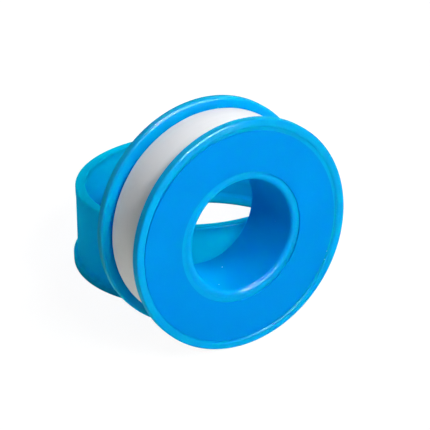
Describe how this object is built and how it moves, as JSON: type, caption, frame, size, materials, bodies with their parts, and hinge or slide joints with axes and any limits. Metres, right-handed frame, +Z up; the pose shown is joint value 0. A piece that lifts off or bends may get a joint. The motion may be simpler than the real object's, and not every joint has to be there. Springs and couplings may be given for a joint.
{
  "type": "thread seal tape roll",
  "caption": "Roll of white thread seal tape on a flanged plastic spool with a ring label and an open bore, with its lipped ring cover taken off beside it.",
  "frame": {"origin": "centre of the spool's bore, midway between the outer faces of its flanges", "axes": "+Y along the bore towards the rear flange and the cover, +Z up, the roll standing on its rims"},
  "size_m": [0.0731, 0.0776, 0.0544],
  "materials": {
    "spool_plastic": "smooth moulded, satin gloss",
    "label": "plain satin film",
    "tape": "soft white film, wound",
    "cover_plastic": "smooth moulded, satin gloss"
  },
  "bodies": {
    "spool": {"spool": "spool_plastic", "face_label": "label", "tape_pack": "tape"},
    "outer_wrap": {"tape_outer_wrap": "tape"},
    "cover": {"cover": "cover_plastic"}
  },
  "joints": [
    {"name": "tape_draw", "type": "hinge", "parent": "spool", "child": "outer_wrap", "pos_m": [0, 0, 0], "axis": [0, 1, 0], "continuous": true},
    {"name": "cover_lift", "type": "slide", "parent": "spool", "child": "cover", "axis": [0, 0, 1], "range_m": [0, 0.06]}
  ]
}
